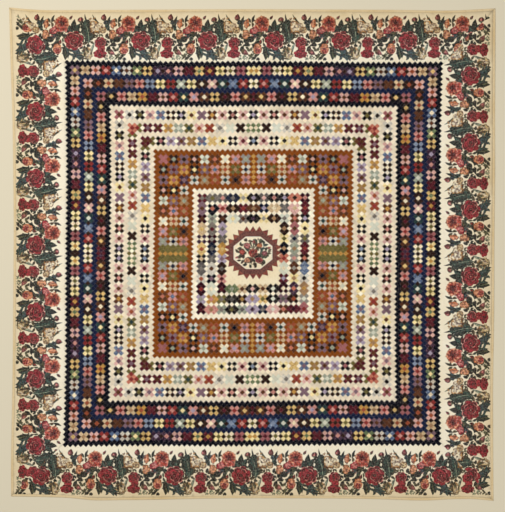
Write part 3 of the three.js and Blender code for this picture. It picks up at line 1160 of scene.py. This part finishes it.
# The posy, in millimetres from the panel's middle: motif, across, up, long, wide, turn, inks
POSY = [
    ("foliage", -66, 34, 58, 44, 20, "pine moss sand"),
    ("foliage", -78, -6, 50, 54, 60, "brown fern sand"),
    ("foliage", -58, -38, 64, 48, 80, "pine brown mint"),
    ("foliage", -30, 62, 54, 34, 0, "brown moss sand"),
    ("foliage", -18, -66, 60, 36, 30, "night pine mint"),
    ("foliage", 28, 64, 56, 36, 40, "pine fern cream"),
    ("foliage", 62, 38, 62, 46, 50, "night leaf mint"),
    ("foliage", 80, 0, 46, 56, 10, "pine moss sand"),
    ("foliage", 60, -40, 66, 50, 70, "pine fern mint"),
    ("foliage", 24, -62, 56, 40, 15, "brown pine sand"),
    ("foliage", -36, 10, 60, 50, 35, "brown moss mint"),
    ("foliage", 38, 6, 60, 50, 55, "pine fern sand"),
    ("foliage", 0, -30, 60, 44, 5, "night pine mint"),
    ("blades", 0, 22, 60, 8, 90, "moss brown fern"),
    ("blades", -4, -18, 60, 8, 265, "brown moss pine"),
    ("leaf", -14, 10, 54, 22, 140, "pine leaf mint"),
    ("leaf", 14, 12, 54, 22, 42, "brown moss sand"),
    ("bloom", -36, 42, 44, 38, 15, "ember shell wine"),
    ("bloom", 38, 44, 40, 36, 40, "brown apricot honey"),
    ("bloom", -66, 4, 42, 38, 0, "wine coral shell"),
    ("bloom", 68, -4, 42, 38, 25, "brown mauve shell"),
    ("bloom", -36, -46, 44, 36, 60, "brown peach ember"),
    ("rose", 36, -44, 46, 40, 0, "wine crimson cherry shell"),
    ("rose", 0, 0, 60, 54, 30, "wine ember coral peach"),
    ("bud", 4, 48, 30, 18, 84, "ember shell fern"),
    ("bud", -84, -24, 26, 14, 200, "crimson shell moss"),
    ("bud", 84, 26, 26, 14, 20, "crimson shell moss"),
]


def shapes_of(chart, place):
    """The printed shapes of a chart of motifs, laid on the cloth by a function of place."""
    shapes = []
    for kind, across, up, long, wide, turn, inks in chart:
        names = inks.split()
        for ink, outline in MOTIFS[kind](across, up, long, wide, turn, names):
            shapes.append((PRINT_INKS[ink], [place(*point) for point in outline]))
    return shapes


def add_panel():
    outline = octagon(PANEL)
    middle = SUNBURST_MIDDLE
    shapes = shapes_of(POSY, lambda across, up: middle + np.array((across, up)) / 1000)
    high = PANEL_LOW + APPLIED_THICK
    mesh = inlaid_mesh(
        "octagon_panel_cloth",
        outline,
        shapes,
        PANEL_SPACING,
        PRINT_INKS["cream"],
        lambda x, y: high - puckers(x, y, *PANEL_PUCKER),
        APPLIED_THICK - APPLIED_LIFT,
        join=True,
    )
    size = np.ptp(outline, axis=0)
    flat_map(mesh, size)
    cloth = make_printed_cloth("panel_chintz", 950.0, 0.00012, 0.75, 0.01, 0.5, 0.4)
    piece = new_piece(mesh, "octagon_panel_cloth", cloth, ["octagon_panel"])


# The edging: how far out over its width, and how high, its folded section runs; the width that
# it was cut to, and the share of it that the mitred corners leave
EDGING_PROFILE = [(0, 0), (0, 0.75), (0.15, 1), (0.5, 1), (0.85, 1), (1, 0.75), (1, 0)]
EDGING_THICK = 0.0015
EDGING_WIDTH = 0.006
EDGING_LONG = 0.02
EDGING_CUTS = 7
EDGING_INK = (243, 234, 214)


def dye(mesh, ink):
    """One plain colour for a whole piece."""
    colours = np.tile((*linear(*ink)[:3], 0.0), (len(mesh.loops), 1))
    add_attribute(mesh, "Ink", colours, domain="CORNER")


def join_lines(bm, lines, is_ring):
    """Faces between each line of points and the next, and between the last and the first."""
    for number, line in enumerate(lines):
        after = lines[(number + 1) % len(lines)]
        for place in range(len(line) - (0 if is_ring else 1)):
            ahead = (place + 1) % len(line)
            bm.faces.new((line[place], line[ahead], after[ahead], after[place]))


def add_edging():
    """The edging as eight strips of folded cloth in one ring, rounded at both folds."""
    bm = bmesh.new()
    rings = []
    for out, high in EDGING_PROFILE:
        corners = octagon(PANEL, GAP + EDGING_WIDTH * out)
        level = PANEL_LOW + EDGING_THICK * high
        rings.append([bm.verts.new((x, y, level)) for x, y in corners])
    join_lines(bm, rings, True)
    edges = [edge for edge in bm.edges if edge.calc_length() > EDGING_LONG]
    bmesh.ops.subdivide_edges(bm, edges=edges, cuts=EDGING_CUTS, use_grid_fill=True)
    bmesh.ops.recalc_face_normals(bm, faces=bm.faces)
    mesh = finished_mesh(bm, "octagon_edging_cloth")
    dye(mesh, EDGING_INK)
    cloth = make_printed_cloth("white_edging_cotton", 900.0, 0.00012, 0.86, 0.05, 0.3, 0.2)
    piece = new_piece(mesh, "octagon_edging_cloth", cloth, ["octagon_edging"])


add_panel()
add_edging()


# The border. Four wide strips of roller-printed chintz with roses, poppies and leaves, mitred
# at the corners and sewn round the sawtooth edge of the patchwork; it keeps a slight glaze.
CHINTZ_THICK = 0.0018
CHINTZ_LIFT = 0.0004
SWELL_HEIGHT = 0.004
SWELL_LENGTH = 0.23
SWELL_REACH = (1.45, 1.466)
BINDING_WIDTH = 0.014
BORDER_SPACING = 0.03
BORDER_STEPS = 48

# The outer edge of the cover: places along each side and how far out it lies there
OUTLINE = {
    "top": [
        (-1.459, 1.480),
        (-1.330, 1.468),
        (-1.000, 1.465),
        (-0.700, 1.466),
        (-0.200, 1.469),
        (0.300, 1.468),
        (0.900, 1.465),
        (1.200, 1.462),
        (1.459, 1.474),
    ],
    "right": [
        (-1.480, 1.447),
        (-1.250, 1.445),
        (-0.900, 1.443),
        (-0.450, 1.449),
        (0.000, 1.452),
        (0.600, 1.456),
        (1.150, 1.457),
        (1.474, 1.459),
    ],
    "bottom": [
        (-1.447, 1.454),
        (-1.250, 1.457),
        (-1.080, 1.464),
        (-0.980, 1.475),
        (-0.760, 1.475),
        (-0.200, 1.466),
        (0.300, 1.465),
        (0.760, 1.470),
        (1.060, 1.477),
        (1.210, 1.470),
        (1.330, 1.470),
        (1.447, 1.480),
    ],
    "left": [
        (-1.454, 1.447),
        (-1.300, 1.448),
        (-0.900, 1.441),
        (-0.300, 1.434),
        (0.300, 1.432),
        (0.750, 1.438),
        (1.150, 1.450),
        (1.480, 1.459),
    ],
}


def on_side(side, along, out):
    return np.array(AHEAD[side]) * along + np.array(OUTWARD[side]) * out


def side_curve(side, steps):
    """The cover's edge along a side as a smooth line through its places, with even steps."""
    places = np.array(OUTLINE[side])
    tangents = np.gradient(places[:, 1], places[:, 0])
    alongs = np.linspace(places[0, 0], places[-1, 0], steps + 1)
    outs = []
    for along in alongs:
        left = min(max(int(np.searchsorted(places[:, 0], along)) - 1, 0), len(places) - 2)
        span = places[left + 1, 0] - places[left, 0]
        t = (along - places[left, 0]) / span
        start, end = places[left, 1], places[left + 1, 1]
        outs.append(
            (2 * t**3 - 3 * t**2 + 1) * start
            + (t**3 - 2 * t**2 + t) * span * tangents[left]
            + (-2 * t**3 + 3 * t**2) * end
            + (t**3 - t**2) * span * tangents[left + 1]
        )
    return alongs, np.array(outs)


def edge_line(side, inset, steps):
    """A line along one side of the cover, the inset away from its outer edge."""
    alongs, outs = side_curve(side, steps)
    reach = max(abs(alongs[0]), abs(alongs[-1]))
    drawn_in = alongs * (1 - (inset + SLANT_GAP) / reach)
    return [on_side(side, along, out - inset) for along, out in zip(drawn_in, outs)]


def swell(x, y):
    """Height of the border over the surface: it grows toward the outer edge."""
    inner_x = HALF * (COVER_COLUMN + 1)
    inner_y = HALF * (COVER_ROW + 1)
    share_x = (np.abs(x) - inner_x) / (SWELL_REACH[0] - inner_x)
    share_y = (np.abs(y) - inner_y) / (SWELL_REACH[1] - inner_y)
    share = np.clip(np.maximum(share_x, share_y), 0, 1)
    wave = np.sin(x / SWELL_LENGTH + 0.7) * np.sin(y / SWELL_LENGTH - 0.4)
    return SWELL_HEIGHT * share**2 * wave**2


# One repeat of the chintz, in millimetres from its big rose: motif, across, up, long, wide,
# turn anticlockwise from the right, and inks
REPEAT = 0.4008
CHINTZ = [
    ("stem", 32, 56, 44, 6, 78, "mint"),
    ("stem", 104, -28, 110, 6, 250, "mint"),
    ("stem", 188, 18, 92, 6, 312, "mint"),
    ("stem", -30, -50, 60, 6, 300, "mint"),
    ("leaf", 156, 94, 80, 11, 129, "pine leaf mint"),
    ("leaf", 150, 90, 56, 9, 118, "moss pine fern"),
    ("leaf", -136, 101, 54, 15, 70, "night pine fern"),
    ("leaf", -142, 104, 32, 14, 120, "pine moss fern"),
    ("leaf", 82, 98, 64, 11, 108, "night pine leaf"),
    ("leaf", 202, 68, 80, 20, 79, "night pine leaf"),
    ("leaf", 198, 84, 50, 16, 112, "pine leaf mint"),
    ("foliage", 103, 118, 34, 28, 30, "brown honey sand"),
    ("foliage", 204, 92, 62, 52, 15, "night blue mint"),
    ("foliage", 258, 106, 44, 52, 80, "brown moss fern"),
    ("foliage", 90, 30, 60, 44, 20, "pine moss fern"),
    ("foliage", 148, 40, 60, 44, 70, "moss fern mint"),
    ("foliage", -114, 9, 84, 66, 10, "night pine mint"),
    ("foliage", -100, 30, 60, 50, 55, "night blue mint"),
    ("foliage", -78, 20, 54, 44, 40, "pine fern cream"),
    ("foliage", -60, 54, 58, 60, 20, "pine moss fern"),
    ("foliage", -40, 40, 44, 40, 65, "night pine fern"),
    ("foliage", 196, 4, 58, 44, 35, "night pine fern"),
    ("foliage", 184, 64, 50, 50, 5, "pine leaf mint"),
    ("foliage", 216, -30, 72, 56, 70, "night pine mint"),
    ("foliage", 256, -26, 66, 62, 30, "night pine fern"),
    ("foliage", 262, -74, 52, 44, 60, "moss fern mint"),
    ("foliage", 88, -8, 66, 48, 25, "pine moss fern"),
    ("foliage", 58, -30, 56, 88, 10, "night pine leaf"),
    ("foliage", 44, 34, 44, 50, 50, "night pine leaf"),
    ("foliage", -6, -82, 80, 60, 20, "night blue mint"),
    ("foliage", 34, -84, 80, 62, 50, "pine blue mint"),
    ("foliage", 10, -92, 70, 44, 80, "blue leaf cream"),
    ("foliage", -46, -50, 50, 60, 15, "pine leaf fern"),
    ("leaf", 2, 50, 76, 36, 90, "night pine leaf"),
    ("leaf", 8, 46, 60, 32, 62, "pine leaf fern"),
    ("leaf", -8, 46, 58, 32, 122, "night leaf fern"),
    ("broad", 86, -26, 150, 78, 99, "leaf pine mint"),
    ("leaf", -60, -34, 88, 42, 273, "pine fern moss"),
    ("leaf", -54, -40, 74, 22, 283, "night leaf blue"),
    ("leaf", -96, -60, 50, 26, 240, "moss fern pine"),
    ("blades", 98, -116, 82, 10, 122, "sand moss pine honey mint"),
    ("blades", 78, -40, 62, 10, 258, "sand moss honey pine"),
    ("blades", 72, -112, 64, 9, 66, "fern sand moss cream"),
    ("leaf", 104, -74, 62, 15, 72, "blue mint cream"),
    ("foliage", -112, -106, 40, 30, 90, "night pine fern"),
    ("foliage", 199, -104, 34, 26, 20, "fern mint leaf"),
    ("foliage", 226, -106, 26, 22, 60, "fern mint leaf"),
    ("foliage", 268, -98, 40, 30, 10, "moss fern mint"),
    ("bloom", -98, 70, 76, 44, 200, "shell coral ember"),
    ("bloom", -120, 56, 50, 42, 150, "cherry shell ember"),
    ("leaf", -168, 68, 62, 32, 84, "apricot peach brown"),
    ("poppy", -74, 104, 92, 84, 100, "peach coral wine wine"),
    ("bloom", -70, 66, 62, 32, 350, "shell coral wine"),
    ("bud", -30, 122, 32, 16, 52, "wine mauve fern"),
    ("bloom", 37, 119, 40, 36, 100, "brown mauve shell"),
    ("bud", 34, 102, 38, 26, 76, "wine shell fern"),
    ("rose", -3, -4, 118, 118, 20, "wine crimson cherry shell"),
    ("bloom", -103, -57, 56, 74, 80, "apricot peach ember"),
    ("bloom", -104, -66, 38, 44, 30, "shell ember peach"),
    ("bud", -88, -26, 32, 18, 78, "wine ember moss"),
    ("foliage", 122, 56, 50, 44, 30, "brown gold honey"),
    ("bloom", 120, 78, 62, 84, 30, "honey cream brown"),
    ("bloom", 150, 86, 44, 40, 10, "sand cream moss"),
    ("bloom", 170, 58, 44, 50, 50, "gold sand brown"),
    ("bud", 173, 114, 44, 34, 80, "wine cherry moss"),
    ("bud", 178, 118, 34, 20, 110, "mauve shell wine"),
    ("bloom", 229, 30, 50, 68, 95, "gold peach honey"),
    ("bloom", 268, 50, 46, 52, 60, "wine cherry shell"),
    ("bloom", 274, 22, 34, 36, 20, "ember shell peach"),
    ("rose", 155, -17, 72, 76, 60, "wine crimson cherry shell"),
    ("bloom", 158, -52, 56, 40, 0, "ember cherry crimson"),
    ("rose", 154, -83, 84, 56, 10, "wine crimson cherry cherry"),
    ("bud", 198, -60, 54, 34, 328, "wine mauve moss"),
    ("bud", 206, -68, 40, 18, 332, "mauve shell moss"),
]

# Where the big roses stand on each side, and which way the print's own right and up run there
PRINT_LAY = {
    "top": {"rose": (-0.2661, 1.2846), "right": (1, 0), "up": (0, 1)},
    "bottom": {"rose": (-0.0651, -1.3254), "right": (1, 0), "up": (0, 1)},
    "left": {"rose": (-1.2960, 0.0516), "right": (0, -1), "up": (1, 0)},
    "right": {"rose": (1.3059, -0.1314), "right": (0, 1), "up": (-1, 0)},
}
REPEATS_EACH_WAY = 4
FARTHEST_ROSE = 1.75
PAST_MITRE = 0.02
CHINTZ_GROUND = (240, 231, 208)

# The strip on its baked map: half its length, where its width starts and how wide it is, the
# rows that its face is folded into, their spare ends and the share of a row that it fills,
# then where the rows end and where the edges' own narrow row lies
MAP_HALF = 1.5
MAP_INNER = 1.1
MAP_TALL = 0.4
MAP_ROWS = 3
MAP_SPARE = 0.05
MAP_ROW_START = 0.03
MAP_ROW_FILL = 0.94
MAP_FACES_END = 0.96
MAP_EDGES = 0.97
MAP_EDGES_TALL = 0.025


def border_outline(side, steps):
    """The strip's edge: the sawtooth, one mitre, the outer line and the other mitre."""
    more = 0 if side in ("top", "bottom") else 1
    teeth = sawtooth(side, (COVER_COLUMN, COVER_ROW), SLANT_GAP, more)
    outer = edge_line(side, BINDING_WIDTH + GAP, steps)
    return teeth + outer[::-1]


def border_shapes(side):
    lay = PRINT_LAY[side]
    rose, right, up = (np.array(lay[key], float) for key in ("rose", "right", "up"))
    shapes = []
    for number in range(-REPEATS_EACH_WAY, REPEATS_EACH_WAY + 1):
        start = rose + right * number * REPEAT
        if np.abs(start).max() > FARTHEST_ROSE:
            continue
        shapes += shapes_of(CHINTZ, lambda a, b: start + (right * a + up * b) / 1000)
    line = 1 if side in ("left", "right") else 0
    kept = []
    for ink, shape in shapes:
        places = np.abs(np.array(shape))
        if (places[:, line] - places[:, 1 - line]).min() < PAST_MITRE:
            kept.append((ink, shape))
    return kept


def border_map(mesh, side):
    """The strip's places on the baked map: its face folded into rows, the rest in a narrow strip."""
    per_face = read_all(mesh.polygons, "loop_total", 1, int)[:, 0]
    centres = read_all(mesh.polygons, "center", 3)
    facing = read_all(mesh.polygons, "normal", 3)
    places = corner_places(mesh)
    line = 1 if side in ("left", "right") else 0
    along = places[:, line] + MAP_HALF
    out = (np.abs(places[:, 1 - line]) - MAP_INNER) / MAP_TALL
    middle = np.repeat(centres[:, line] + MAP_HALF, per_face)
    row = np.clip(np.floor(middle * MAP_ROWS / (2 * MAP_HALF)), 0, MAP_ROWS - 1)
    span = 2 * MAP_HALF / MAP_ROWS
    u = (along - row * span + MAP_SPARE) / (span + 2 * MAP_SPARE)
    v = (out * MAP_ROW_FILL + MAP_ROW_START + row) / MAP_ROWS * MAP_FACES_END
    is_face = np.repeat(facing[:, 2] > 0.5, per_face)
    u = np.where(is_face, u, along / (2 * MAP_HALF))
    v = np.where(is_face, v, MAP_EDGES + MAP_EDGES_TALL * out)
    add_map(mesh, "OFBake", np.stack([u, v], axis=-1))


CHINTZ_CLOTH = make_printed_cloth("glazed_chintz", 1050.0, 0.0001, 0.62, 0.01, 0.4, 0.25, 0.8)


def add_border_side(side):
    outline = border_outline(side, BORDER_STEPS)
    name = f"border_{side}"
    mesh = inlaid_mesh(
        name + "_chintz",
        outline,
        border_shapes(side),
        BORDER_SPACING,
        CHINTZ_GROUND,
        lambda x, y: CHINTZ_THICK + swell(x, y),
        CHINTZ_THICK - CHINTZ_LIFT,
        join=True,
    )
    border_map(mesh, side)
    piece = new_piece(mesh, name + "_chintz", CHINTZ_CLOTH, [name])


for side_name in SIDES:
    add_border_side(side_name)


# The binding. A cotton tape folded over the border's raw edge, 14 mm wide on the face, sewn
# down along its inner edge with small tan stitches.
BINDING_THICK = 0.0026
BINDING_STEPS = 96
BINDING_INK = (232, 216, 182)

# The folded tape's section, from its inner edge outward: shares of its width and thickness
BINDING_PROFILE = [(0, 0.1), (0, 0.6), (0.1, 0.9), (0.5, 1), (0.9, 0.85), (1, 0.5), (0.97, 0.1)]
BINDING_CLOTH = make_printed_cloth("binding_tape_cotton", 850.0, 0.0002, 0.88, 0.05, 0.5, 0.4, 0.6)


def add_binding_side(side):
    bm = bmesh.new()
    lines = []
    for share, high in BINDING_PROFILE:
        level = BINDING_THICK * high
        line = edge_line(side, BINDING_WIDTH * (1 - share), BINDING_STEPS)
        lines.append([bm.verts.new((x, y, level + swell(x, y))) for x, y in line])
    join_lines(bm, lines, False)
    for place in (0, -1):
        bm.faces.new([line[place] for line in lines])
    bmesh.ops.recalc_face_normals(bm, faces=bm.faces)
    name = f"binding_{side}"
    mesh = finished_mesh(bm, name + "_tape")
    dye(mesh, BINDING_INK)
    piece = new_piece(mesh, name + "_tape", BINDING_CLOTH, [name])


for side_name in SIDES:
    add_binding_side(side_name)


# The hand sewing. Small slanting hem stitches hold the binding, the sunburst and the edging;
# each is a short strand of cotton thread that sinks into the cloth at both ends.
BINDING_STITCH_PITCH = 0.005
APPLIQUE_STITCH_PITCH = 0.0035
STITCH_LONG = 0.003
STITCH_WIDE = 0.0006

# Threads, and how far the lines of stitches lie inside the edges that they hold
THREADS = {"tan": (158, 118, 72), "madder": (92, 44, 42), "cream": (226, 210, 176)}
# How dark the painted shade in the grooves between the thread's twisted plies is, as a share of its
# colour
THREAD_SHADE = 0.7
BINDING_SEAM = 0.001
RAY_SEAM = 0.985
EDGING_SEAMS = (GAP + 0.0012, EDGING_WIDTH - 0.0008)
BINDING_SLANT = 0.5
APPLIQUE_SLANT = 0.9


def make_thread(name):
    material = empty_material(name + "_thread")
    tree = material.node_tree
    color = THREADS[name]
    sockets = {"Vector": on_cover(tree), "Scale": 900.0}
    twist = put(tree, "TexWave", sockets, bands_direction="DIAGONAL").outputs["Fac"]
    # Diagonal bands of painted shade: the thread is darker where the grooves between its plies would
    # lie in shadow
    tone = painted(tree, twist, linear(*[c * THREAD_SHADE for c in color]), linear(*color))
    woven_finish(material, tone, 2500.0, 0.00005, 0.7, 0.05)
    return material


def stitch_line(points, pitch, height_of, slant):
    """Middles and headings of stitches at an even pitch along a line."""
    stitches = []
    left = pitch / 2
    for start, end in zip(points[:-1], points[1:]):
        long = float(np.linalg.norm(end - start))
        ahead = (end - start) / max(long, 1e-9)
        while left < long:
            x, y = start + ahead * left
            heading = math.atan2(ahead[1], ahead[0]) + slant
            stitches.append((x, y, float(height_of(x, y)), heading))
            left += pitch
        left -= long
    return stitches


def add_stitches(name, lines, pitch, height_of, thread, slant):
    source = bmesh.new()
    bmesh.ops.create_icosphere(source, subdivisions=1, radius=0.5)
    source.verts.index_update()
    points = np.array([vert.co[:] for vert in source.verts])
    points *= (STITCH_LONG, STITCH_WIDE, STITCH_WIDE)
    faces = np.array([[vert.index for vert in face.verts] for face in source.faces])
    source.free()
    stitches = np.array([s for line in lines for s in stitch_line(line, pitch, height_of, slant)])
    cos, sin = np.cos(stitches[:, 3:4]), np.sin(stitches[:, 3:4])
    x = points[:, 0] * cos - points[:, 1] * sin + stitches[:, 0:1]
    y = points[:, 0] * sin + points[:, 1] * cos + stitches[:, 1:2]
    z = points[:, 2] + stitches[:, 2:3]
    placed = np.stack([x, y, z], axis=-1).reshape(-1, 3)
    numbered = faces[None] + np.arange(len(stitches))[:, None, None] * len(points)
    mesh = bpy.data.meshes.new(name)
    mesh.from_pydata(placed.tolist(), [], numbered.reshape(-1, 3).tolist())
    new_piece(mesh, name, thread, [])


inner_edges = [edge_line(side, BINDING_WIDTH - BINDING_SEAM, BINDING_STEPS) for side in SIDES]
add_stitches(
    "binding_stitches",
    inner_edges,
    BINDING_STITCH_PITCH,
    lambda x, y: BINDING_THICK * 0.85 + swell(x, y),
    make_thread("tan"),
    BINDING_SLANT,
)
ray_edges = [
    [SUNBURST_MIDDLE + (point - SUNBURST_MIDDLE) * RAY_SEAM for point in ray]
    for ray in sunburst_rays()
]
add_stitches(
    "sunburst_stitches",
    ray_edges,
    APPLIQUE_STITCH_PITCH,
    lambda x, y: SUNBURST_LOW + APPLIED_THICK,
    make_thread("madder"),
    APPLIQUE_SLANT,
)
rims = [octagon(PANEL, out) for out in EDGING_SEAMS]
add_stitches(
    "edging_stitches",
    [[*rim, rim[0]] for rim in rims],
    APPLIQUE_STITCH_PITCH,
    lambda x, y: PANEL_LOW + EDGING_THICK,
    make_thread("cream"),
    APPLIQUE_SLANT,
)


# The floor, the light and the camera. The cover is seen from straight above through a long
# lens, in even light that falls a little from the upper left.
FLOOR_HALF = 8.0
CAMERA_PLACE = (0.001, -0.0114, 8.535)
LENS = 100.0
SENSOR = 36.0
FARTHEST_SEEN = 50
FLOOR_COLOUR = (217, 207, 182)
SKY_TINT = (1.0, 0.99, 0.97, 1.0)
SKY_STRENGTH = 0.31

# Each lamp's place, side, power and tint
LAMPS = {
    "key_light": ((-3.5, 3.0, 6.5), 4.0, 425, (1.0, 0.99, 0.975)),
    "fill_light": ((4.0, -3.0, 6.0), 5.0, 178, (1.0, 0.99, 0.97)),
}


def add_floor():
    bm = bmesh.new()
    bmesh.ops.create_grid(bm, x_segments=1, y_segments=1, size=FLOOR_HALF)
    mesh = finished_mesh(bm, "floor")
    material = empty_material("pale_floor")
    tree = material.node_tree
    shader = put(tree, "BsdfPrincipled", {"Base Color": linear(*FLOOR_COLOUR), "Roughness": 0.95})
    put(tree, "OutputMaterial", {"Surface": shader.outputs[0]})
    mesh.materials.append(material)
    floor = bpy.data.objects.new("floor", mesh)
    bpy.context.scene.collection.objects.link(floor)


def add_lamp(name, place, size, watts, tint):
    light = bpy.data.lights.new(name, "AREA")
    light.shape = "SQUARE"
    light.size = size
    light.energy = watts
    light.color = tint
    lamp = bpy.data.objects.new(name, light)
    bpy.context.scene.collection.objects.link(lamp)
    lamp.location = place
    lamp.rotation_mode = "QUATERNION"
    lamp.rotation_quaternion = (-Vector(place)).to_track_quat("-Z", "Y")


def add_camera():
    data = bpy.data.cameras.new("camera")
    data.lens = LENS
    data.sensor_width = SENSOR
    data.clip_end = FARTHEST_SEEN
    camera = bpy.data.objects.new("camera", data)
    camera.location = CAMERA_PLACE
    bpy.context.scene.collection.objects.link(camera)
    bpy.context.scene.camera = camera


def add_sky():
    world = bpy.data.worlds.new("studio")
    world.use_nodes = True
    background = world.node_tree.nodes["Background"]
    background.inputs["Color"].default_value = SKY_TINT
    background.inputs["Strength"].default_value = SKY_STRENGTH
    bpy.context.scene.world = world


add_floor()
for lamp_name, settings in LAMPS.items():
    add_lamp(lamp_name, *settings)
add_sky()
add_camera()
bpy.context.scene.view_settings.view_transform = "Standard"
